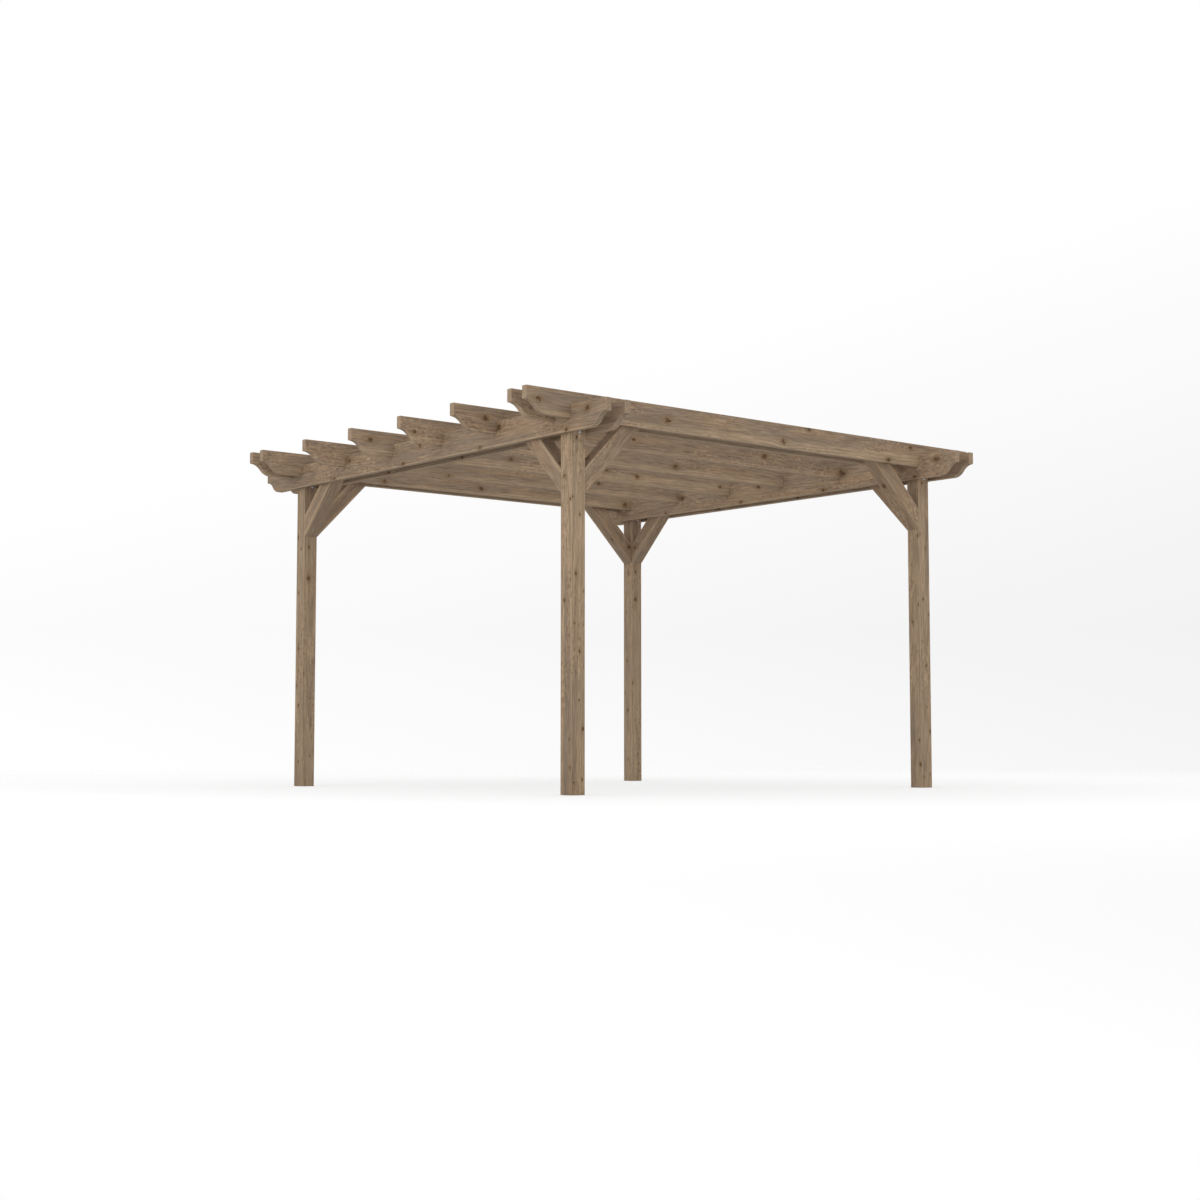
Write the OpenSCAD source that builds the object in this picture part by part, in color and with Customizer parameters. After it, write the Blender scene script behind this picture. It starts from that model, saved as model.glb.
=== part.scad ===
// Wooden pergola: four posts, twin beams that clasp them, notched rafters and knee braces.
// Millimetres, +Z up. The origin is on the ground at the centre of the four posts.
// X runs along the rafters, Y along the beams. Front is -Y and left is -X.

/* [Roof] */
// Length of a rafter, along X
rafter_length = 3600; // [2600:10:6000]
// Length of a beam, along Y
beam_length = 3600; // [2600:10:6000]
// Overhang of the rafters past the outer beams
rafter_overhang = 300; // [200:5:500]
// Overhang of the beams past the outer rafters
beam_overhang = 300; // [200:5:500]
// Rafters that span between the two end pairs
middle_rafters = 4; // [1:1:8]

/* [Posts] */
// Side of the square posts
post_side = 95; // [70:1:150]
// Height of the posts, which end level with the beams
post_height = 2105; // [1800:5:3000]

/* [Boards] */
// Thickness of a beam
beam_thickness = 38; // [25:1:60]
// Depth of a beam
beam_depth = 145; // [120:1:240]
// Thickness of a rafter
rafter_thickness = 38; // [25:1:60]
// Depth of a rafter
rafter_depth = 145; // [120:1:240]
// Depth of the notches that seat a rafter on the beams
notch_depth = 72.5; // [30:0.5:90]
// Gap between a beam and each side of its notch
notch_clearance = 0.5; // [0.2:0.1:2]

/* [Shaped ends] */
// Length of the S-curve under the end of a board
ogee_length = 145; // [110:1:180]
// Height of the S-curve, from the underside up to the end face
ogee_rise = 72.5; // [40:0.5:90]

/* [Braces] */
// Depth of a brace, square to its length
brace_depth = 95; // [60:1:110]
// Slope of a brace above the horizontal, in degrees
brace_slope = 45; // [40:1:55]
// Drop from a beam's underside to a brace's toe on the post
brace_drop = 320; // [260:5:450]
// Height to which a brace's head runs up between its two boards
brace_lap = 72; // [40:1:110]

/* [Finish] */
// Radius of the eased arrises along every timber
arris_radius = 3; // [1:0.5:8]

/* [Hidden] */
$fn = 64;
timber_colour = "#927d67";

beam_underside = post_height - beam_depth;
rafter_underside = post_height - notch_depth;
brace_toe = beam_underside - brace_drop;

// Each post stands between two boards both ways, so its centre lies in from the board ends
post_x = rafter_length / 2 - rafter_overhang - beam_thickness - post_side / 2;
post_y = beam_length / 2 - beam_overhang - rafter_thickness - post_side / 2;
beam_offset = (post_side + beam_thickness) / 2;
rafter_offset = (post_side + rafter_thickness) / 2;

// Two equal arcs, level at both ends, make the S-curve
ogee_radius = (ogee_length ^ 2 + ogee_rise ^ 2) / (4 * ogee_rise);

// Each post: name, then side along X and along Y
CORNERS = [
    ["front_left", -1, -1],
    ["front_right", 1, -1],
    ["back_left", -1, 1],
    ["back_right", 1, 1],
];

// Each beam: name and place along X
BEAMS = [
    ["left_outer", -post_x - beam_offset],
    ["left_inner", -post_x + beam_offset],
    ["right_inner", post_x - beam_offset],
    ["right_outer", post_x + beam_offset],
];

// Rafters from front to back: an outer board, evenly spaced boards, an outer board
first_inner_y = -post_y + rafter_offset;
rafter_spacing = -2 * first_inner_y / (middle_rafters + 1);
RAFTERS = [
    -post_y - rafter_offset,
    for (i = [0:middle_rafters + 1]) first_inner_y + i * rafter_spacing,
    post_y + rafter_offset,
];

// Cross-section of a timber, centred, with its four arrises eased
module section(width, depth) {
    square([width - 2 * arris_radius, depth], center = true);
    square([width, depth - 2 * arris_radius], center = true);
    for (x = [-1, 1], y = [-1, 1])
        translate([x * (width / 2 - arris_radius), y * (depth / 2 - arris_radius)])
            circle(r = arris_radius);
}

// What the S-curve takes off a board's lower corner: a cove at the tip, then a round
module ogee_cut() {
    intersection() {
        square([ogee_length / 2, ogee_rise]);
        translate([0, ogee_rise - ogee_radius]) circle(r = ogee_radius);
    }
    difference() {
        translate([ogee_length / 2, 0]) square([ogee_length / 2, ogee_rise / 2]);
        translate([ogee_length, ogee_radius]) circle(r = ogee_radius);
    }
}

// Side view of a board, from the middle of its underside, with both ends shaped
module outline(length, depth) {
    difference() {
        translate([-length / 2, 0]) square([length, depth]);
        for (end = [0, 1])
            mirror([end, 0]) translate([-length / 2, 0]) ogee_cut();
    }
}

// Side view of a rafter: a notch in the underside over each beam
module notched_outline() {
    notch_width = beam_thickness + 2 * notch_clearance;
    difference() {
        outline(rafter_length, rafter_depth);
        for (b = BEAMS)
            translate([b[1] - notch_width / 2, 0]) square([notch_width, notch_depth]);
    }
}

// Board along X on its underside, cut to the side view given as its child
module board(length, thickness, depth) {
    intersection() {
        rotate([90, 0, 0]) linear_extrude(thickness, center = true) children();
        rotate([90, 0, 90]) linear_extrude(length, center = true)
            translate([0, depth / 2]) section(thickness, depth);
    }
}

module post(corner) {
    color(timber_colour)
        translate([corner[1] * post_x, corner[2] * post_y, 0])
            linear_extrude(post_height) section(post_side, post_side);
}

module beam(x) {
    color(timber_colour)
        translate([x, 0, beam_underside]) rotate([0, 0, 90])
            board(beam_length, beam_thickness, beam_depth) outline(beam_length, beam_depth);
}

module rafter(y) {
    color(timber_colour)
        translate([0, y, rafter_underside])
            board(rafter_length, rafter_thickness, rafter_depth) notched_outline();
}

// Brace that leans away from a post's face along +X, its toe at the origin and its head cut level
module brace(rise) {
    slant = brace_depth / cos(brace_slope);
    low_reach = rise / tan(brace_slope);
    high_reach = (rise - slant) / tan(brace_slope);
    length = low_reach / cos(brace_slope) + brace_depth;
    intersection() {
        rotate([90, 0, 0]) linear_extrude(post_side, center = true)
            polygon([[0, 0], [low_reach, rise], [high_reach, rise], [0, slant]]);
        rotate([0, -brace_slope, 0]) translate([0, 0, brace_depth / 2]) rotate([90, 0, 90])
            linear_extrude(2 * length, center = true) section(post_side, brace_depth);
    }
}

// Brace between the twin beams, from a post in along Y
module beam_brace(corner) {
    color(timber_colour)
        translate([corner[1] * post_x, corner[2] * (post_y - post_side / 2), brace_toe])
            rotate([0, 0, -corner[2] * 90]) brace(brace_drop + brace_lap);
}

// Brace between the twin rafters, from a post in along X
module rafter_brace(corner) {
    color(timber_colour)
        translate([corner[1] * (post_x - post_side / 2), corner[2] * post_y, brace_toe])
            rotate([0, 0, corner[1] > 0 ? 180 : 0])
                brace(rafter_underside - brace_toe + brace_lap);
}

for (c = CORNERS)
    post(c);
for (b = BEAMS)
    beam(b[1]);
for (i = [0:len(RAFTERS) - 1])
    rafter(RAFTERS[i]);
for (c = CORNERS)
    beam_brace(c);
for (c = CORNERS)
    rafter_brace(c);
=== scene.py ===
"""Looks of a wooden pergola in weathered softwood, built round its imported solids.

Every timber is stood for by a finer piece: a section with eased arrises carried along the timber,
with its S-curve ends, notches or mitres. Attributes on the mesh let one solid wood grain run through
its faces, edges and ends and bend round its knots. Bolts go through the posts under the rafters, and
a plain pale studio surrounds the whole.
"""

from __future__ import annotations

import logging
import math
from dataclasses import dataclass, field
from enum import Enum, IntEnum

import bpy
import numpy as np
from bpy.types import Material, Node, NodeSocket, NodeTree, Object, Scene, World
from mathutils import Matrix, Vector
from numpy.typing import NDArray

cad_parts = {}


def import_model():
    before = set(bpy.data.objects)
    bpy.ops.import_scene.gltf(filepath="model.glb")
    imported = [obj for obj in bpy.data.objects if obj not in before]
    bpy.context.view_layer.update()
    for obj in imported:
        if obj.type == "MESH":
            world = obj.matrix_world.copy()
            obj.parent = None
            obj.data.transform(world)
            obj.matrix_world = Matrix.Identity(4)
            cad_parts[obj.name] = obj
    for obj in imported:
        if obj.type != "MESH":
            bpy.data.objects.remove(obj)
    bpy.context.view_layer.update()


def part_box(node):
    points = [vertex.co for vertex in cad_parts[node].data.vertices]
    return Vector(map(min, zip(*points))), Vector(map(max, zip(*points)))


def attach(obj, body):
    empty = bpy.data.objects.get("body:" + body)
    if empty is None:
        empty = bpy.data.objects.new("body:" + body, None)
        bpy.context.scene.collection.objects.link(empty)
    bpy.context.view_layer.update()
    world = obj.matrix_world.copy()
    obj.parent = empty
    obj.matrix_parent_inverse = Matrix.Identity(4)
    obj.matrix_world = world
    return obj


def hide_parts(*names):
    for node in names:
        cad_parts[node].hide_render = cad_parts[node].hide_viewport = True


Array = NDArray[np.float64]
Numbers = NDArray[np.int64]
Source = Node | NodeSocket
Stop = tuple[float, str, float]
Triple = tuple[float, float, float]

LOG = logging.getLogger("pergola")
BODY = "root"
MM = 0.001
CORNERS = ("front_left", "front_right", "back_left", "back_right")

# Offset, in knot radii, and radius of a knot too far off to show
FAR_FROM_KNOTS = (50.0, 50.0, MM)
# Slope that stands for an upright notch wall, and the least rise over run that counts as one
STEEP = 1e6
WALL_SLOPE = 10
# Metres from one timber's start to the next one's in the log that the grain is drawn in
LOG_SPACING = 11.0
# Share of its shade that a face keeps under painted shade, in the gap between twin boards and facing
# down
GAP_PAINTED_SHADE = 0.72
UNDERSIDE_PAINTED_SHADE = 0.85
# Where a drawn knot lies in its stretch and over its face, as shares, and its radius
DRAWN_ALONG = (0.15, 0.85)
DRAWN_ACROSS = (0.1, 0.9)
DRAWN_RADIUS_MM = (5.0, 11.0)


class Side(IntEnum):
    """A long side of a timber, counted round its section, by where it faces."""

    RIGHT = 0
    TOP = 1
    LEFT = 2
    BOTTOM = 3


class Sawing(Enum):
    """How a timber was cut from the log, which decides where its knots show.

    With its pith inside, each knot runs out to one face; with it outside, each goes through from
    face to face. The values are the pith's least and most distance beside the timber's middle, in
    metres, and its least and most height, as shares of the depth.
    """

    BOXED_HEART = ((-0.015, 0.015), (0.35, 0.65))
    FLAT_SAWN = ((0.04, 0.07), (0.66, 0.88))


def linear(colour: str, alpha: float = 1.0) -> tuple[float, float, float, float]:
    """Turns an sRGB hex colour into linear light.

    Args:
        colour: Six hex digits after a hash sign.
        alpha: Fourth channel, passed on as it is.

    Returns:
        Linear red, green and blue, and the alpha.
    """
    shares = [int(colour[i : i + 2], 16) / 255 for i in (1, 3, 5)]
    red, green, blue = (s / 12.92 if s <= 0.04045 else ((s + 0.055) / 1.055) ** 2.4 for s in shares)
    return red, green, blue, alpha


def per_metre(across_mm: float, along_mm: float) -> Triple:
    """Turns a pattern's real size across and along the fibres into counts per metre."""
    return 1 / (across_mm * MM), 1 / (across_mm * MM), 1 / (along_mm * MM)


def cleared(owner: Material | World) -> NodeTree:
    """Gives a material or world an empty node tree.

    Args:
        owner: The material or world.

    Returns:
        Its node tree.
    """
    owner.use_nodes = True
    owner.node_tree.nodes.clear()
    return owner.node_tree


def put(
    tree: NodeTree,
    kind: str,
    inputs: dict[str | int, object] | None = None,
    stops: tuple[Stop, ...] = (),
    **settings: object,
) -> Node:
    """Adds a node with its settings, its input values or links and, on a ramp, its stops.

    Args:
        tree: Node tree that takes the node.
        kind: Blender's type name of the node, less the ShaderNode that all of them begin with.
        inputs: Value, output socket or node for each input, by name or number. A node gives the
            first of its outputs that is in use.
        stops: Place, hex colour and alpha of each stop, first to last.
        **settings: Properties of the node itself.

    Returns:
        The new node.
    """
    node = tree.nodes.new(f"ShaderNode{kind}")
    for name, value in settings.items():
        setattr(node, name, value)
    for key, value in (inputs or {}).items():
        if isinstance(value, Node):
            value = next(socket for socket in value.outputs if socket.enabled)
        if isinstance(value, NodeSocket):
            tree.links.new(value, node.inputs[key])
        else:
            node.inputs[key].default_value = value
    for i, (place, colour, alpha) in enumerate(stops):
        elements = node.color_ramp.elements
        element = elements[i] if i < 2 else elements.new(place)
        element.position = place
        element.color = linear(colour, alpha)
    return node


def mesh_piece(name: str, points: Array, faces: list[Numbers], material: Material) -> Object:
    """Makes a smooth-shaded mesh object at the origin.

    Args:
        name: Name of the object and its mesh.
        points: Places of the points in the world.
        faces: Blocks of faces, each with as many points to a face all through.
        material: Its finish.

    Returns:
        The object, in the scene.
    """
    mesh = bpy.data.meshes.new(name)
    mesh.from_pydata(points.tolist(), [], [face for block in faces for face in block.tolist()])
    mesh.polygons.foreach_set("use_smooth", np.ones(len(mesh.polygons), bool))
    mesh.update()
    mesh.materials.append(material)
    piece = bpy.data.objects.new(name, mesh)
    bpy.context.scene.collection.objects.link(piece)
    return piece


class Figure(Enum):
    """Noises that make up the grain: size across and along the fibres in millimetres, and octaves.

    Real fibres are far finer than the picture can show, so the finest noise is drawn as coarse as it
    needs to be to show.
    """

    FIBRE = (5.0, 60.0, 2.0)
    STREAK = (9.0, 120.0, 2.0)
    FLAME = (52.0, 480.0, 3.0)
    PATCH = (120.0, 500.0, 1.0)
    HAIR = (10.0, 170.0, 2.0)
    CHECK = (9.0, 260.0, 1.0)
    FLECK = (13.0, 26.0, 1.0)


@dataclass(frozen=True)
class Stain:
    """A colour laid over the wood by some value.

    It begins at one value and is full at the other, where it covers its greatest share.
    """

    hue: str
    start: float
    full: float
    most: float
    soft: bool = False


@dataclass(frozen=True)
class WeatheredSoftwood:
    """Planed pine left outdoors for a season.

    Its making gives the eye long fibre streaks in tan and grey-brown, flames and patches weathered
    grey or left warm, pale hairlines and flecks, growth rings where the sapwood or a cut end shows
    them, dark knots with the fibres bent round them, a few drying checks, and pale arrises, partly
    worn and partly a painted highlight. The timbers' own colour levels also carry painted shade.
    """

    name: str = "weathered_pine"
    # Fibre streaks, and the stains over them in the order in which they are laid
    streak_stops: tuple[Stop, ...] = (
        (0.30, "#7a6651", 1.0),
        (0.45, "#8a755f", 1.0),
        (0.56, "#937d67", 1.0),
        (0.70, "#a38c74", 1.0),
    )
    warm_flame: Stain = Stain("#a98a68", 0.5, 0.72, 0.40)
    grey_flame: Stain = Stain("#877a6c", 0.5, 0.28, 0.35)
    grey_patch: Stain = Stain("#877a6c", 0.5, 0.75, 0.30)
    pink_patch: Stain = Stain("#9c8270", 0.5, 0.25, 0.30)
    sapwood: Stain = Stain("#b39b7e", 0.0, 1.0, 0.36)
    hairline: Stain = Stain("#b89f81", 0.62, 0.72, 0.45)
    dark_fleck: Stain = Stain("#6e5036", 0.58, 0.68, 0.50)
    pale_fleck: Stain = Stain("#bda37e", 0.42, 0.32, 0.50)
    check: Stain = Stain("#4d3f33", 0.64, 0.72, 0.30, soft=True)
    halo: Stain = Stain("#7e6346", 2.2, 0.6, 0.35, soft=True)
    end_grain: Stain = Stain("#b8a288", 0.0, 1.0, 0.24)
    # Pale arrises: partly wear, partly a painted highlight along the edges
    worn_and_highlit_arris: Stain = Stain("#b8a289", 0.0, 1.0, 0.55)
    fleck_zone: tuple[float, float] = (0.50, 0.40)
    sapwood_hair: float = 0.09
    # Knots, in knot radii, with shapes that squeeze the offset along and across the fibres
    knot_stops: tuple[Stop, ...] = (
        (0.00, "#563e27", 0.92),
        (0.18, "#4e3721", 0.92),
        (0.30, "#5b4229", 0.80),
        (0.42, "#745839", 0.48),
        (0.95, "#8c7049", 0.00),
    )
    knot_core: float = 1.7
    knot_reach: float = 2.6
    knot_shape: Triple = (0.75, 1.0, 0.0)
    halo_shape: Triple = (0.3, 0.8, 0.0)
    ragged: float = 3.4
    ragged_size_mm: tuple[float, float] = (13.0, 17.0)
    bend_shape: Triple = (0.3, 0.6, 0.0)
    bend_ease: float = 0.6
    bend_end: float = 0.12
    sway_mm: float = 6.0
    sway_size_mm: tuple[float, float] = (70.0, 420.0)
    # Growth rings, then how far each figure lightens or darkens the wood, and its surface
    ring_mm: float = 14.0
    late_wood: tuple[float, float] = (0.35, 0.95)
    sapwood_edge_mm: float = 9.0
    noise_span: tuple[float, float] = (0.25, 0.75)
    octave_share: float = 0.55
    fibre_level: tuple[float, float] = (0.86, 1.14)
    flame_level: tuple[float, float] = (0.945, 1.055)
    ring_level: tuple[float, float] = (1.05, 0.85)
    sapwood_level: tuple[float, float] = (0.96, 1.07)
    roughness: tuple[float, float] = (0.9, 0.7)
    specular: float = 0.3
    late_sink: float = -0.6
    relief_mm: float = 0.35
    relief_strength: float = 0.8

    def build(self) -> Material:
        """Makes the material from the timbers' attributes.

        Returns:
            A material whose colour, roughness and relief follow the grain.
        """
        material = bpy.data.materials.new(self.name)
        tree = cleared(material)
        knot = put(tree, "Attribute", attribute_name="knot").outputs["Vector"]
        fibres = self._bend_fibres(tree, knot)
        late, sap = self._rings(tree, fibres)
        noise = {}
        for figure in Figure:
            across, along, octaves = figure.value
            counts = per_metre(across, along)
            place = put(tree, "VectorMath", {0: fibres, 1: counts}, operation="MULTIPLY")
            inputs = {"Vector": place, "Scale": 1.0, "Detail": octaves, "Roughness": self.octave_share}
            noise[figure] = put(tree, "TexNoise", inputs)
        colour = self._flaws(tree, noise, knot, self._clear_wood(tree, noise, late, sap))
        fibre = noise[Figure.FIBRE]
        pale, dense = self.roughness
        rough = put(tree, "MapRange", {"Value": fibre, "To Min": pale, "To Max": dense})
        height = put(tree, "Math", {0: late, 1: self.late_sink, 2: fibre}, operation="MULTIPLY_ADD")
        depth, strength = self.relief_mm * MM, self.relief_strength
        relief = put(tree, "Bump", {"Height": height, "Distance": depth, "Strength": strength})
        shader = put(
            tree,
            "BsdfPrincipled",
            {
                "Base Color": colour,
                "Roughness": rough,
                "Normal": relief,
                "Specular IOR Level": self.specular,
            },
        )
        put(tree, "OutputMaterial", {"Surface": shader})
        return material

    def _bend_fibres(self, tree: NodeTree, knot: NodeSocket) -> Node:
        """Place in the straight grown log, with the fibres led round each knot.

        As in a stream round a post, a point at distance d from the knot, in knot radii, comes from
        nearer the knot's middle line by its offset over d squared, less what that comes to where the
        fibres are straight again. Slow noise then sways the fibres.

        Args:
            tree: The material's node tree.
            knot: Offset from the nearest knot along and across the fibres, in knot radii, and its
                radius in metres.

        Returns:
            The place, with the third axis along the fibres.
        """
        grain = put(tree, "Attribute", attribute_name="grain").outputs["Vector"]
        sideways = put(tree, "Attribute", attribute_name="sideways").outputs["Vector"]
        _, across, radius = put(tree, "SeparateXYZ", {0: knot}).outputs
        squat = put(tree, "VectorMath", {0: knot, 1: self.bend_shape}, operation="MULTIPLY")
        squared = put(tree, "VectorMath", {0: squat, 1: squat}, operation="DOT_PRODUCT")
        eased = put(tree, "Math", {0: squared, 1: self.bend_ease}, operation="ADD")
        inverse = put(tree, "Math", {0: 1.0, 1: eased}, operation="DIVIDE")
        fall = put(tree, "Math", {0: inverse, 1: self.bend_end}, operation="SUBTRACT")
        strength = put(tree, "Math", {0: fall, 1: 0.0}, operation="MAXIMUM")
        offset = put(tree, "Math", {0: across, 1: radius}, operation="MULTIPLY")
        shift = put(tree, "Math", {0: offset, 1: strength}, operation="MULTIPLY")
        push = put(tree, "VectorMath", {0: sideways, "Scale": shift}, operation="SCALE")
        led = put(tree, "VectorMath", {0: grain, 1: push}, operation="SUBTRACT")
        counts = per_metre(*self.sway_size_mm)
        slow = put(tree, "VectorMath", {0: led, 1: counts}, operation="MULTIPLY")
        sway = put(tree, "TexNoise", {"Vector": slow, "Scale": 1.0, "Detail": 2.0}).outputs["Color"]
        centred = put(tree, "VectorMath", {0: sway, 1: (0.5, 0.5, 0.5)}, operation="SUBTRACT")
        reach = 2 * self.sway_mm * MM
        return put(
            tree, "VectorMath", {0: centred, 1: (reach, reach, 0), 2: led}, operation="MULTIPLY_ADD"
        )

    def _rings(self, tree: NodeTree, fibres: Node) -> tuple[Node, Node]:
        """Shares of late wood and of sapwood, both from the distance to the pith.

        Late wood grows over each ring's width and ends sharply at the ring's edge. Sapwood begins at
        the timber's own heart radius.

        Args:
            tree: The material's node tree.
            fibres: Place in the straight log.

        Returns:
            The two shares.
        """
        section = put(tree, "VectorMath", {0: fibres, 1: (1, 1, 0)}, operation="MULTIPLY")
        radius = put(tree, "VectorMath", {0: section}, operation="LENGTH")
        count = put(tree, "Math", {0: radius, 1: self.ring_mm * MM}, operation="DIVIDE")
        phase = put(tree, "Math", {0: count}, operation="FRACT")
        heart = put(tree, "Attribute", attribute_name="heart").outputs["Fac"]
        beyond = put(tree, "Math", {0: radius, 1: heart}, operation="SUBTRACT")
        edge = self.sapwood_edge_mm * MM
        late, sap = (
            put(
                tree,
                "MapRange",
                {"Value": value, "From Min": low, "From Max": high},
                interpolation_type="SMOOTHSTEP",
            )
            for value, (low, high) in ((phase, self.late_wood), (beyond, (-edge, edge)))
        )
        return late, sap

    @staticmethod
    def _stain(
        tree: NodeTree, colour: Source, stain: Stain, value: Source, most: Node | None = None
    ) -> Node:
        """Lays a stain over a colour.

        Args:
            tree: The material's node tree.
            colour: What it is laid over.
            stain: The stain.
            value: The value that it follows.
            most: Its greatest share, where that is not the same all over.

        Returns:
            The stained colour.
        """
        share = put(
            tree,
            "MapRange",
            {
                "Value": value,
                "From Min": stain.start,
                "From Max": stain.full,
                "To Max": stain.most if most is None else most,
            },
            interpolation_type="SMOOTHSTEP" if stain.soft else "LINEAR",
        )
        return put(tree, "Mix", {0: share, 6: colour, 7: linear(stain.hue)}, data_type="RGBA")

    def _clear_wood(self, tree: NodeTree, noise: dict[Figure, Node], late: Node, sap: Node) -> Node:
        """Colour of wood without flaws: streaks and weathered patches, then levels over them.

        Args:
            tree: The material's node tree.
            noise: The grain's noises.
            late: Share of late wood.
            sap: Share of sapwood.

        Returns:
            The colour.
        """
        flame, patch, hair = noise[Figure.FLAME], noise[Figure.PATCH], noise[Figure.HAIR]
        colour = put(tree, "ValToRGB", {"Fac": noise[Figure.STREAK]}, self.streak_stops)
        hairs = put(tree, "Math", {0: sap, 1: self.sapwood_hair, 2: hair}, operation="MULTIPLY_ADD")
        for stain, value in (
            (self.warm_flame, flame),
            (self.grey_flame, flame),
            (self.grey_patch, patch),
            (self.pink_patch, patch),
            (self.sapwood, sap),
            (self.hairline, hairs),
        ):
            colour = self._stain(tree, colour, stain, value)
        start, full = self.fleck_zone
        for stain in (self.dark_fleck, self.pale_fleck):
            inputs = {"Value": patch, "From Min": start, "From Max": full, "To Max": stain.most}
            colour = self._stain(tree, colour, stain, noise[Figure.FLECK], put(tree, "MapRange", inputs))
        cut = put(tree, "Attribute", attribute_name="cut").outputs["Fac"]
        shown = put(tree, "Math", {0: sap, 1: cut}, operation="MAXIMUM")
        lines = put(tree, "Math", {0: late, 1: shown}, operation="MULTIPLY")
        # Colour level of each timber, with painted shade in gaps, underneath and under the roof
        level: Source = put(tree, "Attribute", attribute_name="tone_and_painted_shade").outputs["Fac"]
        for value, (start, full), (low, high) in (
            (noise[Figure.FIBRE], self.noise_span, self.fibre_level),
            (flame, self.noise_span, self.flame_level),
            (lines, (0.0, 1.0), self.ring_level),
            (sap, (0.0, 1.0), self.sapwood_level),
        ):
            inputs = {"Value": value, "From Min": start, "From Max": full, "To Min": low, "To Max": high}
            share = put(tree, "MapRange", inputs)
            level = put(tree, "Math", {0: level, 1: share}, operation="MULTIPLY")
        return put(tree, "VectorMath", {0: colour, "Scale": level}, operation="SCALE")

    def _flaws(
        self, tree: NodeTree, noise: dict[Figure, Node], knot: NodeSocket, colour: Node
    ) -> Node:
        """Lays drying checks, the stain round knots, knots, cut ends and arrises paled by wear and
        painted highlight.

        Args:
            tree: The material's node tree.
            noise: The grain's noises.
            knot: Offset from the nearest knot, in knot radii.
            colour: The clear wood's colour.

        Returns:
            The base colour.
        """
        spread, distance = (
            put(
                tree,
                "VectorMath",
                {0: put(tree, "VectorMath", {0: knot, 1: shape}, operation="MULTIPLY")},
                operation="LENGTH",
            )
            for shape in (self.halo_shape, self.knot_shape)
        )
        colour = self._stain(tree, colour, self.check, noise[Figure.CHECK])
        colour = self._stain(tree, colour, self.halo, spread)
        grain = put(tree, "Attribute", attribute_name="grain").outputs["Vector"]
        counts = per_metre(*self.ragged_size_mm)
        place = put(tree, "VectorMath", {0: grain, 1: counts}, operation="MULTIPLY")
        inputs = {"Vector": place, "Scale": 1.0, "Detail": 2.0, "Roughness": self.octave_share}
        edge = put(tree, "TexNoise", inputs)
        uneven = put(tree, "Math", {0: edge, 1: self.ragged, 2: distance}, operation="MULTIPLY_ADD")
        outer = self.knot_core + self.knot_reach
        inputs = {"Value": uneven, "From Min": self.knot_core, "From Max": outer}
        ramp = put(tree, "ValToRGB", {"Fac": put(tree, "MapRange", inputs)}, self.knot_stops)
        cover = ramp.outputs["Alpha"]
        colour = put(tree, "Mix", {0: cover, 6: colour, 7: ramp}, data_type="RGBA")
        # Paler cut ends, then arrises paled by wear and by a painted highlight
        for attribute, stain in (("cut", self.end_grain), ("arris", self.worn_and_highlit_arris)):
            mask = put(tree, "Attribute", attribute_name=attribute).outputs["Fac"]
            colour = self._stain(tree, colour, stain, mask)
        return colour


@dataclass(frozen=True)
class GalvanisedSteel:
    """Hot-dipped zinc on steel: a pale grey metal, dulled, with faint crystal spangles."""

    name: str = "galvanised_steel"
    bright: str = "#c9cccd"
    dull: str = "#a9adb0"
    spangle_mm: float = 4.0
    roughness: float = 0.42

    def build(self) -> Material:
        """Makes the material, with one spangle per Voronoi cell.

        Returns:
            A metal whose grey changes from crystal to crystal.
        """
        material = bpy.data.materials.new(self.name)
        tree = cleared(material)
        place = put(tree, "TexCoord").outputs["Object"]
        cells = put(tree, "TexVoronoi", {"Vector": place, "Scale": 1 / (self.spangle_mm * MM)})
        shade = put(tree, "SeparateColor", {0: cells.outputs["Color"]})
        ends = {6: linear(self.dull), 7: linear(self.bright)}
        colour = put(tree, "Mix", {0: shade, **ends}, data_type="RGBA")
        inputs = {"Base Color": colour, "Metallic": 1.0, "Roughness": self.roughness}
        put(tree, "OutputMaterial", {"Surface": put(tree, "BsdfPrincipled", inputs)})
        return material


@dataclass(frozen=True)
class Knot:
    """A knot's place on a timber.

    Along runs from the timber's lower or nearer end and across from the low edge of the face, both
    in metres. The radius is in millimetres, and the side counts only in a boxed-heart timber.
    """

    along: float
    across: float
    radius_mm: float
    side: Side = Side.LEFT


@dataclass(frozen=True)
class Ring:
    """Points round a section: a place on an inner rectangle and the way the surface faces there.

    The rectangle runs from -1 to 1 both ways. Each side has its points along the flat, then those of
    the arc that turns on to the next side.
    """

    rectangle: Array
    facing: Array
    side: Numbers
    arris: Array

    @classmethod
    def of(cls, right_cells: int, top_cells: int, arc_cells: int) -> Ring:
        """Lays the points round.

        A side k faces the angle k quarter turns from +v. Along its flat the place runs from -1 to 1
        on the tangent, and over its arc the facing turns on by a quarter.

        Args:
            right_cells: Cells along the right and left sides.
            top_cells: Cells along the top and bottom.
            arc_cells: Cells round each arris.

        Returns:
            The ring, counter-clockwise seen against the timber's direction.
        """
        rectangle, facing, sides, arris = [], [], [], []
        for side in Side:
            cells = right_cells if side % 2 == 0 else top_cells
            turn = side * math.pi / 2
            out = np.round([math.cos(turn), math.sin(turn)])
            tangent = np.array([-out[1], out[0]])
            flat = np.linspace(-1, 1, cells + 1)[:, None]
            angles = turn + np.linspace(0, math.pi / 2, arc_cells + 1)[1:-1]
            count = len(angles)
            rectangle += [out + flat * tangent, np.tile(out + tangent, (count, 1))]
            facing += [
                np.tile(out, (cells + 1, 1)),
                np.column_stack([np.cos(angles), np.sin(angles)]),
            ]
            late_half = np.arange(arc_cells) >= arc_cells / 2
            sides += [np.full(cells, side), np.where(late_half, (side + 1) % 4, side)]
            arris += [np.zeros(cells + 1), np.ones(count)]
        return cls(*(np.concatenate(blocks) for blocks in (rectangle, facing, sides, arris)))


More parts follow.
